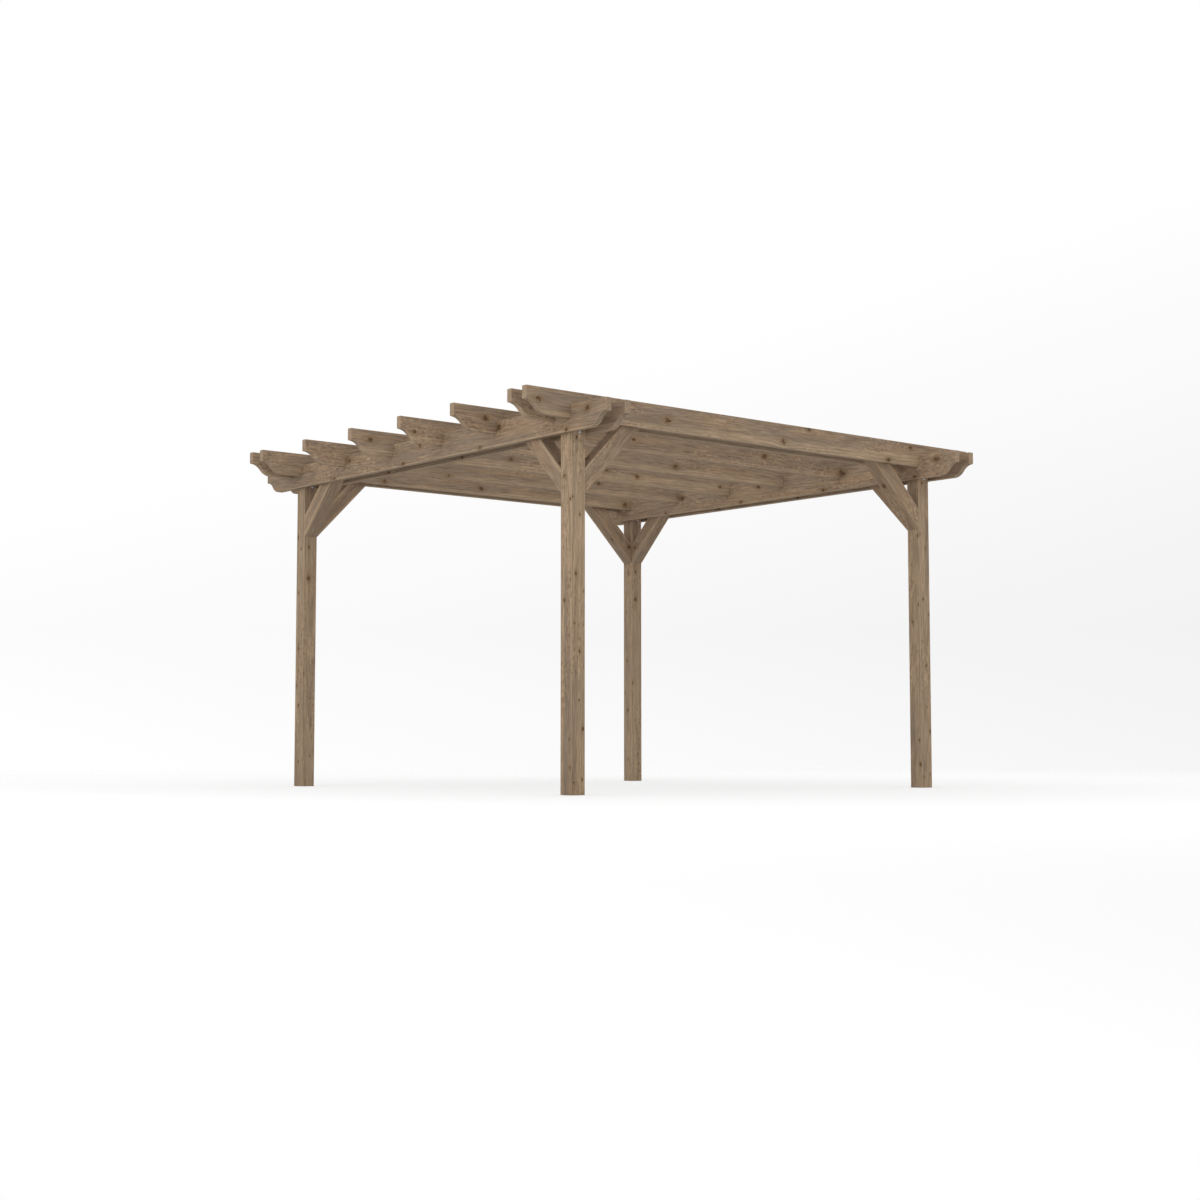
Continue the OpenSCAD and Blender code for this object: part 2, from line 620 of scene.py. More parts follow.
@dataclass
class Timber:
    """A straight timber: a section with eased arrises carried along it.

    Local places are (u, v, w): u along the timber from its first end, v across it from the middle,
    w up from its underside. The axes are the world directions of u, v and w. The fibres lean off
    the timber's line by up to most_lean degrees. Sides in a gap, facing down or under the roof are
    painted darker, given as a share of the timber's own shade: painted shade where less light
    reaches. It fades out towards the ends, which stand out past the crossing boards and keep their
    full shade, lighter than inside.
    """

    name: str
    origin: Array
    axes: Array
    length: float
    width: float
    depth: float
    seed: int
    knots: tuple[Knot, ...]
    sawing: Sawing = Sawing.FLAT_SAWN
    heart: float = 99 * MM
    most_lean: float = 0.6
    shade: float = 1.0
    shade_spread: float = 0.02
    painted_shade_sides: dict[Side, float] = field(default_factory=dict)
    # Length at each end left without painted shade, and how far it takes to fade in
    unshaded_end: float = 220 * MM
    painted_shade_fade: float = 100 * MM
    arris_radius: float = 3 * MM
    arc_cells: int = 3
    ease: float = 2 * MM
    ease_cells: int = 3
    ease_shown: float = 0.1
    step: float = 24 * MM

    def stations(self) -> Array:
        """Places the sections along the timber, evenly but for the eased ends.

        Over an ease the distance from the end is the ease times one less the sine of an angle that
        falls from a quarter turn to none.

        Returns:
            Distances from the first end.
        """
        angles = np.linspace(math.pi / 2, 0, self.ease_cells + 1)
        eased = self.ease * (1 - np.sin(angles))
        count = max(2, round((self.length - 2 * self.ease) / self.step))
        middle = np.linspace(self.ease, self.length - self.ease, count + 1)
        return np.concatenate([eased[:-1], middle, self.length - eased[-2::-1]])

    def underside(self, u: Array) -> Array:
        """Height of the underside at each distance."""
        return np.zeros_like(u)

    def slope(self, u: Array) -> Array:
        """Slope of the underside at each distance."""
        return np.zeros_like(u)

    def shear(self, u: Array, w: Array) -> Array:
        """Place along the timber of each point, from its station and its height in the section."""
        return u + 0 * w

    def end_facing(self) -> Array:
        """Outward directions of the first and last end, in local axes."""
        return np.array([[-1.0, 0, 0], [1.0, 0, 0]])

    def build(self, material: Material) -> Object:
        """Lays the surface and puts it into a mesh with its normals and attributes.

        Args:
            material: The timber's finish.

        Returns:
            The timber's object, at the origin.
        """
        right_cells, top_cells = (max(2, round(s / self.step)) for s in (self.depth, self.width))
        ring = Ring.of(right_cells, top_cells, self.arc_cells)
        u = self.stations()
        from_end = np.minimum(u, self.length - u)
        turn = np.arcsin(np.clip(1 - from_end / self.ease, 0, 1)) if self.ease else 0 * u
        local = self._points(ring, u, turn)
        quads, caps = self._faces(len(u), len(ring.side))
        piece = mesh_piece(self.name, self.origin + local @ self.axes, [quads, caps], material)

        on_caps = np.ones(caps.size)
        ends = np.repeat(self.end_facing(), caps.size // 2, axis=0)
        normals = np.vstack([self._side_normals(ring, u, turn).reshape(-1, 3), ends])
        rng = np.random.default_rng(self.seed)
        grain = self._grain(local, rng)
        # Painted shade: sides in gaps, underneath and under the roof are darkened in the colour level
        tone_and_painted_shade = np.append(self._painted_shade(ring, from_end), on_caps)
        tone_and_painted_shade *= self.shade * rng.uniform(1 - self.shade_spread, 1 + self.shade_spread)
        arris = np.maximum(ring.arris, (np.sin(2 * turn) > self.ease_shown)[:, None]).ravel()
        knot, sideways = self._knot_offsets(ring, local, quads, len(caps))
        for name, values in (
            ("grain", grain),
            ("tone_and_painted_shade", tone_and_painted_shade),
            ("heart", np.full(len(local), self.heart)),
            ("cut", np.abs(normals[:, 0])),
            ("arris", np.append(arris[quads.ravel()], 0 * on_caps)),
            ("knot", knot),
            ("sideways", sideways),
        ):
            kind, key = ("FLOAT", "value") if values.ndim == 1 else ("FLOAT_VECTOR", "vector")
            domain = "POINT" if len(values) == len(local) else "CORNER"
            data = piece.data.attributes.new(name, kind, domain).data
            data.foreach_set(key, values.astype(np.float32).ravel())
        piece.data.normals_split_custom_set((normals @ self.axes).tolist())
        return piece

    def _points(self, ring: Ring, u: Array, turn: Array) -> Array:
        """Local places of the points round each station, then the middles of the two ends.

        The section at a station is an inner rectangle pushed outwards by the arris radius, less the
        ease at an end, where the surface turns through a quarter circle on to the end face.

        Args:
            ring: Points round the section.
            u: Stations.
            turn: Angle turned towards the end at each station.

        Returns:
            The places.
        """
        low, radius = self.underside(u), self.arris_radius
        push = (radius - self.ease * (1 - np.cos(turn)))[:, None]
        middle, half = ((self.depth + low) / 2)[:, None], ((self.depth - low) / 2 - radius)[:, None]
        v = ring.rectangle[:, 0] * (self.width / 2 - radius) + push * ring.facing[:, 0]
        w = middle + ring.rectangle[:, 1] * half + push * ring.facing[:, 1]
        local = np.stack([self.shear(u[:, None], w), v, w], -1)
        return np.vstack([local.reshape(-1, 3), local[0].mean(0), local[-1].mean(0)])

    @staticmethod
    def _faces(stations: int, round_count: int) -> tuple[Numbers, Numbers]:
        """Numbers the points of each face: four round a side cell, three round an end's wedge.

        Args:
            stations: Sections along the timber.
            round_count: Points round a section.

        Returns:
            Point numbers of the side cells, and of the first end's wedges before the last end's.
        """
        index = np.arange(stations * round_count).reshape(stations, round_count)
        after = np.roll(index, -1, axis=1)
        quads = np.stack([index[:-1], after[:-1], after[1:], index[1:]], -1).reshape(-1, 4)
        hub = np.full(round_count, index.size)
        start = np.stack([hub, after[0], index[0]], -1)
        end = np.stack([hub + 1, index[-1], after[-1]], -1)
        return quads, np.vstack([start, end])

    def _painted_shade(self, ring: Ring, from_end: Array) -> Array:
        """Share of the shade each side keeps under painted shade, from all at the ends to its own share.

        Args:
            ring: Points round the section.
            from_end: Distance of each station from the nearer end.

        Returns:
            Shares by cell along, cell round and corner.
        """
        kept = np.array([self.painted_shade_sides.get(side, 1.0) for side in Side])[ring.side]
        cover = np.clip((from_end - self.unshaded_end) / self.painted_shade_fade, 0, 1)
        corners = np.stack([cover[:-1], cover[:-1], cover[1:], cover[1:]], -1)
        return 1 - corners[:, None] * (1 - kept[:, None])

    def _side_normals(self, ring: Ring, u: Array, turn: Array) -> Array:
        """Normals at the four corners of each side cell, in local axes.

        A point that faces down tips with the underside's slope. Towards an end, the normal turns by
        the ease's angle from the side's own direction to the end's.

        Args:
            ring: Points round the section.
            u: Stations.
            turn: Angle turned towards the end at each station.

        Returns:
            Normals by cell along, cell round, corner and axis.
        """
        rise = np.diff(self.underside(u))
        wall = np.abs(rise) > np.abs(np.diff(u)) * WALL_SLOPE
        begin = np.where(wall, STEEP * np.sign(rise), self.slope(u[:-1]))
        finish = np.where(wall, STEEP * np.sign(rise), self.slope(u[1:]))
        signed = np.where(u < self.length / 2, -turn, turn)
        here, ahead = ring.facing, np.roll(ring.facing, -1, axis=0)
        corners = []
        for slope, towards_end, facing in (
            (begin, signed[:-1], here),
            (begin, signed[:-1], ahead),
            (finish, signed[1:], ahead),
            (finish, signed[1:], here),
        ):
            down = np.clip(-facing[:, 1], 0, None)
            tip = np.hypot(1, slope)[:, None]
            side = np.stack(
                [
                    down * slope[:, None] / tip,
                    np.broadcast_to(facing[:, 0], (len(slope), len(facing))),
                    np.clip(facing[:, 1], 0, None) - down / tip,
                ],
                -1,
            )
            swing = towards_end[:, None, None]
            corners.append(np.cos(swing) * side + np.sin(swing) * np.array([1.0, 0, 0]))
        return np.stack(corners, 2)

    def _grain(self, local: Array, rng: np.random.Generator) -> Array:
        """Places in the log: distances from the pith across it, and along it from its own start.

        Args:
            local: Local places of the points.
            rng: The timber's own random draws.

        Returns:
            Places in metres, the third along the fibres.
        """
        beside, height = self.sawing.value
        hand = rng.choice([-1, 1]) if self.sawing is Sawing.FLAT_SAWN else 1
        pith = np.array([hand * rng.uniform(*beside), rng.uniform(*height) * self.depth])
        lean = np.tan(np.radians(self.most_lean * rng.uniform(-1, 1, 2)))
        across = local[:, 1:] - pith - (local[:, :1] - self.length / 2) * lean
        return np.column_stack([across, local[:, 0] + LOG_SPACING * self.seed])

    def _knot_offsets(
        self, ring: Ring, local: Array, quads: Numbers, cap_cells: int
    ) -> tuple[Array, Array]:
        """Offset of each face corner from the knot that is nearest to its face.

        Args:
            ring: Points round the section.
            local: Local places of the points.
            quads: Point numbers of the side cells.
            cap_cells: Triangles on the two ends, which show no knot.

        Returns:
            Offsets along and across in knot radii with the radius in metres, and the direction
            across the fibres, both by face corner.
        """
        through = self.sawing is Sawing.FLAT_SAWN
        side = np.tile(ring.side, len(quads) // len(ring.side))
        upright = np.full(len(side), True) if through else side % 2 == 0
        corners = local[quads]
        across = np.where(upright[:, None], corners[..., 2], corners[..., 1] + self.width / 2)
        along = corners[..., 0]
        places = np.array([[k.along, k.across, k.radius_mm * MM, k.side] for k in self.knots])
        centre_u, centre_a = along.mean(1)[:, None], across.mean(1)[:, None]
        gap = np.hypot(centre_u - places[:, 0], centre_a - places[:, 1]) / places[:, 2]
        other_side = (side[:, None] != places[:, 3]) & (not through)
        gap = np.where(other_side, np.inf, gap)
        nearest = places[gap.argmin(1)]
        knot_u, knot_a, radius = (nearest[:, i : i + 1] for i in range(3))
        offset = np.stack(
            [
                (along - knot_u) / radius,
                (across - knot_a) / radius,
                np.broadcast_to(radius, along.shape),
            ],
            -1,
        )
        offset[np.isinf(gap.min(1))] = FAR_FROM_KNOTS
        sideways = np.where(upright[:, None], [[0.0, 1, 0]], [[1.0, 0, 0]])
        caps = np.tile(FAR_FROM_KNOTS, (3 * cap_cells, 1))
        return (
            np.vstack([offset.reshape(-1, 3), caps]),
            np.vstack([np.repeat(sideways, 4, axis=0), 0 * caps]),
        )


@dataclass
class Board(Timber):
    """A board on edge with an S-curve under both ends and, on a rafter, notches over the beams."""

    ogee_length: float = 145 * MM
    ogee_rise: float = 72.5 * MM
    ogee_cells: int = 16
    notches: tuple[tuple[float, float], ...] = ()
    notch_depth: float = 72.5 * MM
    wall_lean: float = 0.3 * MM
    clear_of_curve: float = 8 * MM
    clear_of_wall: float = 6 * MM

    def stations(self) -> Array:
        """Places sections more closely over the S-curves, and two at each notch wall.

        Returns:
            Distances from the first end.
        """
        plain = super().stations()
        tip = plain[plain <= self.ease]
        curve = np.linspace(self.ease, self.ogee_length, self.ogee_cells + 1)
        first = self.ogee_length + self.clear_of_curve
        middle = plain[(plain > first) & (plain < self.length / 2)]
        half = np.concatenate([tip[:-1], curve, middle])
        every = np.concatenate([half, self.length - half, [self.length / 2]])
        if self.notches:
            starts, ends = np.array(self.notches).T
            walls = np.concatenate([starts, starts + self.wall_lean, ends - self.wall_lean, ends])
            clear = np.abs(every[:, None] - walls).min(1) > self.clear_of_wall
            every = np.concatenate([every[clear], walls])
        return np.sort(every)

    def _radius(self) -> float:
        """Radius of the S-curve's two equal arcs, level at both ends."""
        return (self.ogee_length**2 + self.ogee_rise**2) / (4 * self.ogee_rise)

    def underside(self, u: Array) -> Array:
        """Cove at the tip and round after it, each an arc, then level; raised in the notches.

        An arc's height at a distance x from where it is level is the radius less the root of the
        radius squared less x squared.

        Args:
            u: Distances along the board.

        Returns:
            Height of the underside at each.
        """
        x = np.minimum(u, self.length - u)
        radius, half = self._radius(), self.ogee_length / 2
        inward = np.clip(self.ogee_length - x, 0, half)
        cove = self.ogee_rise - radius + np.sqrt(radius**2 - np.clip(x, 0, half) ** 2)
        low = np.where(x < half, cove, radius - np.sqrt(radius**2 - inward**2))
        inset = self.wall_lean / 2
        for start, end in self.notches:
            low = np.where((u > start + inset) & (u < end - inset), self.notch_depth, low)
        return low

    def slope(self, u: Array) -> Array:
        """Slope of the two arcs: the distance from where each is level over its height from its centre.

        Args:
            u: Distances along the board.

        Returns:
            Rise over run at each, in the sense of u.
        """
        x = np.minimum(u, self.length - u)
        radius, half = self._radius(), self.ogee_length / 2
        arc = np.where(x < half, x, np.clip(self.ogee_length - x, 0, None))
        steepness = arc / np.sqrt(radius**2 - np.clip(arc, 0, half) ** 2)
        return np.where(u < self.length / 2, -steepness, steepness)


@dataclass
class Brace(Timber):
    """A knee brace at a slope, cut upright at its toe on the post and level at its head."""

    slope_angle: float = math.pi / 4
    rise: float = 0.4

    def stations(self) -> Array:
        """Even stations along the brace's lower edge."""
        return np.linspace(0, self.length, max(2, round(self.length / self.step)) + 1)

    def shear(self, u: Array, w: Array) -> Array:
        """Runs each line along the brace from the toe's upright cut to the head's level cut.

        Args:
            u: Stations.
            w: Heights of the points in the section.

        Returns:
            Place along the brace of each point.
        """
        toe = w * math.tan(self.slope_angle)
        head = (self.rise - w * math.cos(self.slope_angle)) / math.sin(self.slope_angle)
        return toe + u / self.length * (head - toe)

    def end_facing(self) -> Array:
        """The toe faces the post and the head faces up, in local axes."""
        c, s = math.cos(self.slope_angle), math.sin(self.slope_angle)
        return np.array([[-c, 0, s], [s, 0, c]])


def scattered(rng: np.random.Generator, length: float, depth: float, spacing: float) -> tuple[Knot, ...]:
    """Knots for a face that the photograph does not show: one to a stretch, at random in it.

    Args:
        rng: Seeded draws.
        length: Length of the timber.
        depth: Width of the face.
        spacing: Mean distance from knot to knot.

    Returns:
        The knots, on all sides in turn.
    """
    count = max(1, round(length / spacing))
    along = (np.arange(count) + rng.uniform(*DRAWN_ALONG, count)) * length / count
    across = rng.uniform(*DRAWN_ACROSS, count) * depth
    radius = rng.uniform(*DRAWN_RADIUS_MM, count)
    sides = rng.permutation(count) % 4
    return tuple(Knot(a, c, r, Side(s)) for a, c, r, s in zip(along, across, radius, sides, strict=True))


def node_box(node: str) -> tuple[Array, Array, Array]:
    """Low corner, middle and size of a CAD node's box, in metres."""
    low, high = (np.array(corner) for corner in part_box(node))
    return low, (low + high) / 2, high - low


def dress(piece: Object, node: str) -> Object:
    """Lets a timber piece stand for its CAD node and move with the pergola.

    Args:
        piece: The timber.
        node: The CAD node.

    Returns:
        The same piece.
    """
    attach(piece, BODY)
    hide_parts(node)
    LOG.info("%s stands for %s, %d faces", piece.name, node, len(piece.data.polygons))
    return piece


@dataclass
class Posts:
    """The four square posts, from the ground up to the top of the beams.

    Knots in view are listed by the row of posts that they stand in.
    """

    finish: Material
    # Each post's own colour, partly lowered on the back and right posts: painted shade for light falling
    # off from the front-left
    shades: tuple[float, ...] = (0.965, 0.92, 0.89, 0.895)
    heart: float = 38 * MM
    most_lean: float = 2.6
    first_seed: int = 3
    left_face: dict[str, tuple[Triple, ...]] = field(
        default_factory=lambda: {
            "front": ((0.15, 0.012, 8), (0.30, 0.018, 5), (1.05, 0.060, 7), (1.16, 0.012, 3.5),
                      (1.60, 0.010, 6), (1.73, 0.065, 6)),
            "back": ((0.16, 0.044, 5), (0.53, 0.049, 6), (0.66, 0.079, 5), (0.90, 0.057, 6),
                     (1.27, 0.065, 5), (1.56, 0.039, 5), (1.64, 0.079, 6)),
        }
    )
    front_face: dict[str, tuple[Triple, ...]] = field(
        default_factory=lambda: {
            "front": ((0.07, 0.018, 4), (0.085, 0.075, 4), (0.355, 0.080, 6), (0.51, 0.053, 4),
                      (0.775, 0.056, 6), (0.925, 0.021, 4), (1.10, 0.085, 4), (1.195, 0.030, 6),
                      (1.52, 0.058, 4.5), (1.61, 0.008, 5), (1.94, 0.035, 5)),
            "back": ((0.20, 0.060, 4), (0.735, 0.006, 6), (1.365, 0.036, 10), (1.57, 0.037, 6)),
        }
    )

    def build(self) -> list[Object]:
        """Lays each post on its node's box.

        Returns:
            The four posts.
        """
        made = []
        axes = np.array([[0.0, 0, 1], [1.0, 0, 0], [0.0, 1, 0]])
        for number, (corner, shade) in enumerate(zip(CORNERS, self.shades, strict=True)):
            node = f"post_{corner}"
            low, middle, size = node_box(node)
            timber = Timber(
                f"timber_{node}",
                origin=np.array([middle[0], low[1], low[2]]),
                axes=axes,
                length=size[2],
                width=size[0],
                depth=size[1],
                seed=self.first_seed + number,
                knots=self._knots(corner),
                sawing=Sawing.BOXED_HEART,
                heart=self.heart,
                most_lean=self.most_lean,
                shade=shade,
            )
            made.append(dress(timber.build(self.finish), node))
        return made

    def _knots(self, corner: str) -> tuple[Knot, ...]:
        """Knots of the two faces in view, and on the two behind them the other row's, turned round.

        Args:
            corner: The post's corner.

        Returns:
            The knots of all four faces.
        """
        row = corner.split("_")[0]
        other = "back" if row == "front" else "front"
        faces = (
            (self.left_face[row], Side.LEFT),
            (self.front_face[row], Side.BOTTOM),
            (self.left_face[other], Side.RIGHT),
            (self.front_face[other], Side.TOP),
        )
        return tuple(Knot(*place, side) for places, side in faces for place in places)


@dataclass
class Beams:
    """The two pairs of boards along Y that clasp the posts."""

    finish: Material
    names: tuple[str, ...] = ("left_outer", "left_inner", "right_inner", "right_outer")
    in_view: tuple[str, ...] = ("left_outer", "right_inner")
    shades: tuple[float, ...] = (1.01, 1.0, 1.08, 1.0)
    upper_knots: tuple[float, ...] = (0.155, 0.955, 1.755, 2.555, 3.355)
    lower_knots: tuple[float, ...] = (0.335, 1.135, 1.935, 2.735)
    upper_height: float = 0.105
    lower_height: float = 0.013
    upper_radius_mm: float = 13.0
    lower_radius_mm: float = 8.0
    hidden_shift: float = 0.37
    first_seed: int = 20

    def build(self) -> list[Object]:
        """Lays each beam on its node's box.

        Returns:
            The four beams.
        """
        made = []
        axes = np.array([[0.0, 1, 0], [-1.0, 0, 0], [0.0, 0, 1]])
        for number, (name, shade) in enumerate(zip(self.names, self.shades, strict=True)):
            node = f"beam_{name}"
            low, middle, size = node_box(node)
            shift, twin_side = self.hidden_shift, Side.RIGHT
            if name in self.in_view:
                shift, twin_side = 0.0, Side.LEFT
            board = Board(
                f"timber_{node}",
                origin=np.array([middle[0], low[1], low[2]]),
                axes=axes,
                length=size[1],
                width=size[0],
                depth=size[2],
                seed=self.first_seed + number,
                knots=self._knots(shift),
                shade=shade,
                # Painted shade in the gap beside the twin board and underneath
                painted_shade_sides={twin_side: GAP_PAINTED_SHADE, Side.BOTTOM: UNDERSIDE_PAINTED_SHADE},
            )
            made.append(dress(board.build(self.finish), node))
        return made

    def _knots(self, shift: float) -> tuple[Knot, ...]:
        """Two rows of knots, from one tree's whorls, moved along on the boards out of view.

        Args:
            shift: How far they are moved.

        Returns:
            The upper row, then the lower.
        """
        upper = (Knot(a + shift, self.upper_height, self.upper_radius_mm) for a in self.upper_knots)
        lower = (Knot(a + shift, self.lower_height, self.lower_radius_mm) for a in self.lower_knots)
        return (*upper, *lower)


@dataclass
class Rafters:
    """The eight notched boards along X, from front to back.

    The end pairs have a twin beside them. Those whose face is in view have their knots listed.
    """

    finish: Material
    beams: tuple[str, ...] = Beams.names
    notch_clearance: float = 0.5 * MM
    # Painted light and shade: the raised shade lightens the tails past the beams, and the share below
    # darkens the sides under the roof
    shade: float = 1.07
    under_roof_painted_shade: float = 0.92
    first_seed: int = 41
    drawing_seed: int = 5
    drawn_spacing: float = 0.5
    twin_sides: tuple[Side | None, ...] = (
        Side.RIGHT, Side.LEFT, None, None, None, None, Side.RIGHT, Side.LEFT,
    )
    knots: dict[int, tuple[Triple, ...]] = field(
        default_factory=lambda: {
            1: ((0.085, 0.078, 13), (0.415, 0.068, 9), (1.00, 0.063, 14), (1.92, 0.038, 13),
                (2.135, 0.135, 11), (2.845, 0.018, 12), (3.055, 0.118, 10), (3.29, 0.071, 14)),
            3: ((0.22, 0.079, 13), (1.32, 0.075, 12), (2.42, 0.079, 14), (3.14, 0.040, 15)),
            4: ((0.10, 0.060, 8), (1.10, 0.100, 9), (2.135, 0.049, 14), (3.515, 0.013, 9)),
            5: ((0.135, 0.088, 12), (1.20, 0.070, 10), (2.00, 0.075, 8), (2.27, 0.055, 12),
                (2.61, 0.140, 10), (3.04, 0.055, 9), (3.41, 0.090, 10)),
            6: ((0.32, 0.043, 10), (1.085, 0.015, 10), (2.37, 0.078, 11), (2.73, 0.141, 9),
                (3.16, 0.045, 16)),
            7: ((0.045, 0.025, 8), (0.935, 0.021, 11), (1.45, 0.110, 12), (1.735, 0.045, 12),
                (3.07, 0.035, 16), (3.47, 0.010, 9)),
        }
    )

    def build(self) -> list[Object]:
        """Lays each rafter on its node's box, with a notch over each beam's box.

        Returns:
            The eight rafters.
        """
        made = []
        spans = [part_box(f"beam_{name}") for name in self.beams]
        gap = self.notch_clearance
        rng = np.random.default_rng(self.drawing_seed)
        for number, twin_side in enumerate(self.twin_sides):
            node = f"rafter_{number + 1}"
            low, middle, size = node_box(node)
            drawn = scattered(rng, size[0], size[2], self.drawn_spacing)
            seen = tuple(Knot(*place) for place in self.knots.get(number + 1, ()))
            # Painted shade on the sides under the roof, underneath, and in the gap beside a twin
            painted_shade_sides = dict.fromkeys((Side.LEFT, Side.RIGHT), self.under_roof_painted_shade)
            painted_shade_sides[Side.BOTTOM] = UNDERSIDE_PAINTED_SHADE
            if twin_side is not None:
                painted_shade_sides[twin_side] = GAP_PAINTED_SHADE
            board = Board(
                f"timber_{node}",
                origin=np.array([low[0], middle[1], low[2]]),
                axes=np.eye(3),
                length=size[0],
                width=size[1],
                depth=size[2],
                seed=self.first_seed + number,
                knots=seen or drawn,
                shade=self.shade,
                painted_shade_sides=painted_shade_sides,
                notches=tuple((a.x - low[0] - gap, b.x - low[0] + gap) for a, b in spans),
            )
            made.append(dress(board.build(self.finish), node))
        return made


@dataclass
class Braces:
    """The eight knee braces, two to a post, between the twin boards."""

    finish: Material
    shade: float = 1.04
    heart: float = 70 * MM
    arris_radius: float = 1.5 * MM
    first_seed: int = 60
    drawing_seed: int = 9
    drawn_spacing: float = 0.16

    def build(self) -> list[Object]:
        """Lays each brace from the post's face up, on its node's box.

        Returns:
            The eight braces.
        """
        made = []
        rng = np.random.default_rng(self.drawing_seed)
        for number, corner in enumerate(CORNERS):
            inward = np.array([1.0 if "left" in corner else -1.0, 1.0 if "front" in corner else -1.0, 0])
            for kind, heading in (("beam", np.array([0.0, 1, 0])), ("rafter", np.array([1.0, 0, 0]))):
                node = f"{kind}_brace_{corner}"
                brace = self._brace(node, heading * inward, rng, self.first_seed + 2 * number)
                made.append(dress(brace, node))
        return made

    def _brace(self, node: str, heading: Array, rng: np.random.Generator, seed: int) -> Object:
        """Lays one brace.

        The upper face of a brace between beams lies deep in the gap and is painted darker all along, up
        to its ends: painted shade.

        Args:
            node: CAD node that it stands for.
            heading: Level direction away from the post.
            rng: Draws for its knots.
            seed: The timber's own seed.

        Returns:
            The brace.
        """
        low, middle, size = node_box(node)
        run, rise = float(np.abs(size @ heading)), float(size[2])
        width = float(np.abs(size @ np.cross(heading, [0, 0, 1])))
        angle = math.atan2(rise, run)
        foot = middle - heading * run / 2
        foot[2] = low[2]
        along = heading * math.cos(angle) + np.array([0, 0, math.sin(angle)])
        up = -heading * math.sin(angle) + np.array([0, 0, math.cos(angle)])
        axes = np.array([along, np.cross(up, along), up])
        length = rise / math.sin(angle)
        brace = Brace(
            f"timber_{node}",
            origin=foot,
            axes=axes,
            length=length,
            width=width,
            depth=width,
            seed=seed,
            knots=scattered(rng, length, width, self.drawn_spacing),
            sawing=Sawing.BOXED_HEART,
            heart=self.heart,
            shade=self.shade,
            # Painted shade on the upper face of a brace between beams, all along it
            painted_shade_sides={Side.TOP: UNDERSIDE_PAINTED_SHADE} if heading[1] else {},
            unshaded_end=-math.inf,
            arris_radius=self.arris_radius,
            ease=0.0,
            slope_angle=angle,
            rise=rise,
        )
        return brace.build(self.finish)


@dataclass
class Bolts:
    """A bolt through each post under the rafters: a domed head in front, washer and nut behind.

    Profiles run from the axis at the outer end to the axis at the post's face, as radius and height
    off the face, in millimetres, and share of hexagon.
    """

    finish: Material
    height: float = 1.972
    offset: float = 10 * MM
    sides: int = 48
    sharp_degrees: float = 35.0
    head: tuple[Triple, ...] = (
        (0.0, 6.2, 0), (3.0, 6.0, 0), (5.8, 5.3, 0), (8.2, 4.1, 0), (9.9, 2.6, 0), (10.8, 1.2, 0),
        (11.0, 0.4, 0), (10.7, 0.0, 0), (0.0, 0.0, 0),
    )
    nut: tuple[Triple, ...] = (
        (0.0, 16.0, 0), (4.0, 16.0, 0), (4.9, 15.1, 0), (4.9, 10.3, 0), (5.6, 10.1, 0),
        (8.0, 10.1, 0), (8.5, 9.6, 1), (8.5, 2.6, 1), (8.2, 2.3, 0), (11.6, 2.2, 0),
        (12.0, 1.8, 0), (12.0, 0.0, 0), (0.0, 0.0, 0),
    )

    def build(self) -> list[Object]:
        """Sets a head on each post's front face and a nut on its back.

        Returns:
            The heads and nuts.
        """
        made = []
        for corner in CORNERS:
            low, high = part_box(f"post_{corner}")
            x = (low.x + high.x) / 2 + self.offset
            for name, profile, y, out in (
                ("bolt", self.head, low.y, -1.0),
                ("nut", self.nut, high.y, 1.0),
            ):
                place = np.array([x, y, self.height])
                piece = self._turned(f"{name}_{corner}", np.array(profile) * [MM, MM, 1], place, out)
                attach(piece, BODY)
                LOG.info("%s on post_%s", piece.name, corner)
                made.append(piece)
        return made

    def _turned(self, name: str, profile: Array, place: Array, out: float) -> Object:
        """Carries a profile round the bolt's axis, which lies along Y.

        The radius at an angle is the profile's own, stretched towards a hexagon's by its share: one
        over the cosine of the angle from the middle of the nearest flat.

        Args:
            name: Name of the piece.
            profile: Radius, height and share of hexagon by point.
            place: Where the axis meets the post's face.
            out: Which way along Y the bolt stands out.

        Returns:
            The closed piece.
        """
        angle = np.arange(self.sides) * 2 * math.pi / self.sides
        flat = 1 / np.cos((angle + math.pi / 6) % (math.pi / 3) - math.pi / 6)
        radius, height, hexagon = profile[1:-1].T[:, :, None]
        stretched = radius * (1 + hexagon * (flat - 1))
        points = np.stack(
            [
                stretched * np.cos(angle) * out,
                np.broadcast_to(height * out, stretched.shape),
                stretched * np.sin(angle),
            ],
            -1,
        ).reshape(-1, 3)
        points = np.vstack([points, [0, profile[0, 1] * out, 0], [0, profile[-1, 1] * out, 0]]) + place
        index = np.arange(len(radius) * self.sides).reshape(len(radius), -1)
        after = np.roll(index, -1, axis=1)
        walls = np.stack([index[:-1], index[1:], after[1:], after[:-1]], -1).reshape(-1, 4)
        tip = np.full(self.sides, index.size)
        lid = np.stack([tip, index[0], after[0]], -1)
        seat = np.stack([tip + 1, after[-1], index[-1]], -1)
        piece = mesh_piece(name, points, [walls, lid, seat], self.finish)
        piece.data.set_sharp_from_angle(angle=math.radians(self.sharp_degrees))
        return piece


